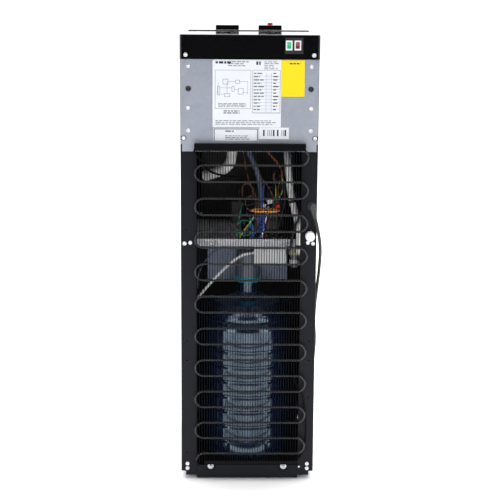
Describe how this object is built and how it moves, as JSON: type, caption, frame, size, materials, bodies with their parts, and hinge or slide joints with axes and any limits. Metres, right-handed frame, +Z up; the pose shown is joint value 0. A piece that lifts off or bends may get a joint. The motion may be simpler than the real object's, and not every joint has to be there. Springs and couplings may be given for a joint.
{
  "type": "water dispenser",
  "caption": "Floor-standing bottom-loading hot and cold water dispenser with rear condenser, push keys, drip tray, hinged door and power cord.",
  "frame": {"origin": "on the floor, under the middle of the cabinet's overall box (the cord is left out)", "axes": "+Z up, +X towards a user's right hand facing the front, -Y out of the front, +Y out of the back"},
  "size_m": [0.3243, 0.4705, 1.06],
  "materials": {
    "black_sheet": "satin black powder coat",
    "galvanised": "galvanised steel sheet with a faint spangle",
    "gloss_black": "glossy black moulding",
    "matte_black": "fine-grained black moulding",
    "stainless": "brushed stainless sheet",
    "white_plastic": "white moulding",
    "label_paper": "matt self-adhesive label",
    "green_rocker": "translucent green",
    "red_rocker": "translucent dark red",
    "red_plastic": "glossy red moulding",
    "lens": "clear lens",
    "zinc": "bright zinc plating",
    "coil_black": "semi-gloss black enamel",
    "copper": "drawn copper with a soft tarnish",
    "foam": "pale closed-cell foam",
    "steel": "plain steel",
    "bottle_blue": "clear blue polycarbonate",
    "cap_teal": "teal moulding",
    "probe_grey": "grey-blue moulding",
    "hose_white": "white silicone",
    "hose_blue_grey": "grey-blue silicone",
    "rubber_black": "black rubber",
    "wire_colours": "coloured insulation",
    "grey_plastic": "mid-grey moulding"
  },
  "bodies": {
    "cabinet": {"base_pan": "black_sheet", "bottle": "bottle_blue", "bottle_collar": "cap_teal", "cold_spring": "steel", "cold_tank": "foam", "compressor": "coil_black", "compressor_mounts": "rubber_black", "condenser_bars": "coil_black", "condenser_tube": "coil_black", "condenser_wires": "coil_black", "control_box": "white_plastic", "cord_coil": "rubber_black", "corrugated_hose": "hose_white", "dip_tube": "white_plastic", "drain_fitting": "white_plastic", "drain_hose": "hose_white", "evaporator_coil": "copper", "filter_drier": "copper", "front_frame": "gloss_black", "hinge_brackets": "zinc", "hot_spring": "steel", "hot_tank": "foam", "indicator_lenses": "lens", "labels": "label_paper", "left_side_panel": "black_sheet", "mid_shelf": "galvanised", "niche_liner": "matte_black", "plug": "rubber_black", "power_cord": "rubber_black", "probe_head": "probe_grey", "pump": "steel", "rear_upper_panel": "galvanised", "refrigerant_lines": "copper", "right_side_panel": "black_sheet", "screws": "zinc", "strain_relief": "grey_plastic", "switch_housing": "matte_black", "tank_heater": "zinc", "taps": "matte_black", "terminal_cover": "matte_black", "top_cover": "gloss_black", "top_trim_bar": "stainless", "water_hoses": "hose_blue_grey", "wire_harness": "wire_colours"},
    "door": {"door_skin": "stainless", "door_liner": "matte_black"},
    "tray": {"drip_tray": "matte_black"},
    "grille": {"drip_grille": "stainless"},
    "hot_key": {"hot_key": "matte_black"},
    "cold_key": {"cold_key": "matte_black"},
    "child_lock": {"child_lock": "red_plastic"},
    "hot_plunger": {"hot_plunger": "white_plastic"},
    "cold_plunger": {"cold_plunger": "white_plastic"},
    "cold_rocker": {"cold_rocker": "green_rocker"},
    "hot_rocker": {"hot_rocker": "red_rocker"},
    "drain_cap": {"drain_cap": "white_plastic"},
    "foot_front_left": {"foot_front_left": "rubber_black"},
    "foot_front_right": {"foot_front_right": "rubber_black"},
    "foot_rear_left": {"foot_rear_left": "rubber_black"},
    "foot_rear_right": {"foot_rear_right": "rubber_black"}
  },
  "joints": [
    {"name": "door_hinge", "type": "hinge", "parent": "cabinet", "child": "door", "pos_m": [0.147, -0.166, 0.3], "axis": [0, 0, 1], "range_deg": [0, 110]},
    {"name": "tray_slide", "type": "slide", "parent": "cabinet", "child": "tray", "axis": [0, -1, 0], "range_m": [0, 0.1]},
    {"name": "grille_lift", "type": "slide", "parent": "tray", "child": "grille", "axis": [0, 0, 1], "range_m": [0, 0.06]},
    {"name": "hot_key_press", "type": "hinge", "parent": "cabinet", "child": "hot_key", "pos_m": [-0.0535, -0.118, 1.029], "axis": [1, 0, 0], "range_deg": [0, 5], "stiffness_Nm_per_rad": 4, "springref_deg": -1.72, "deforming": ["hot_spring"]},
    {"name": "cold_key_press", "type": "hinge", "parent": "cabinet", "child": "cold_key", "pos_m": [0.0535, -0.118, 1.029], "axis": [1, 0, 0], "range_deg": [0, 5], "stiffness_Nm_per_rad": 4, "springref_deg": -1.72, "deforming": ["cold_spring"]},
    {"name": "hot_plunger_slide", "type": "slide", "parent": "cabinet", "child": "hot_plunger", "axis": [0, 0, 1], "range_m": [-0.0036, 0]},
    {"name": "cold_plunger_slide", "type": "slide", "parent": "cabinet", "child": "cold_plunger", "axis": [0, 0, 1], "range_m": [-0.0036, 0]},
    {"name": "child_lock_slide", "type": "slide", "parent": "hot_key", "child": "child_lock", "axis": [0, 1, 0], "range_m": [0, 0.005]},
    {"name": "cold_rocker_tilt", "type": "hinge", "parent": "cabinet", "child": "cold_rocker", "pos_m": [-0.0864, 0.1595, 1.0167], "axis": [1, 0, 0], "range_deg": [0, 16]},
    {"name": "hot_rocker_tilt", "type": "hinge", "parent": "cabinet", "child": "hot_rocker", "pos_m": [-0.1054, 0.1595, 1.0167], "axis": [1, 0, 0], "range_deg": [0, 16]},
    {"name": "drain_cap_pull", "type": "slide", "parent": "cabinet", "child": "drain_cap", "axis": [0, 1, 0], "range_m": [0, 0.02]},
    {"name": "foot_front_left_turn", "type": "hinge", "parent": "cabinet", "child": "foot_front_left", "pos_m": [-0.12, -0.12, 0.02], "axis": [0, 0, 1], "continuous": true},
    {"name": "foot_front_right_turn", "type": "hinge", "parent": "cabinet", "child": "foot_front_right", "pos_m": [0.12, -0.12, 0.02], "axis": [0, 0, 1], "continuous": true},
    {"name": "foot_rear_left_turn", "type": "hinge", "parent": "cabinet", "child": "foot_rear_left", "pos_m": [-0.12, 0.12, 0.02], "axis": [0, 0, 1], "continuous": true},
    {"name": "foot_rear_right_turn", "type": "hinge", "parent": "cabinet", "child": "foot_rear_right", "pos_m": [0.12, 0.12, 0.02], "axis": [0, 0, 1], "continuous": true}
  ],
  "couplings": [
    {"joint": "hot_plunger_slide", "follows": "hot_key_press", "m_per_rad": -0.0395},
    {"joint": "cold_plunger_slide", "follows": "cold_key_press", "m_per_rad": -0.0395}
  ]
}
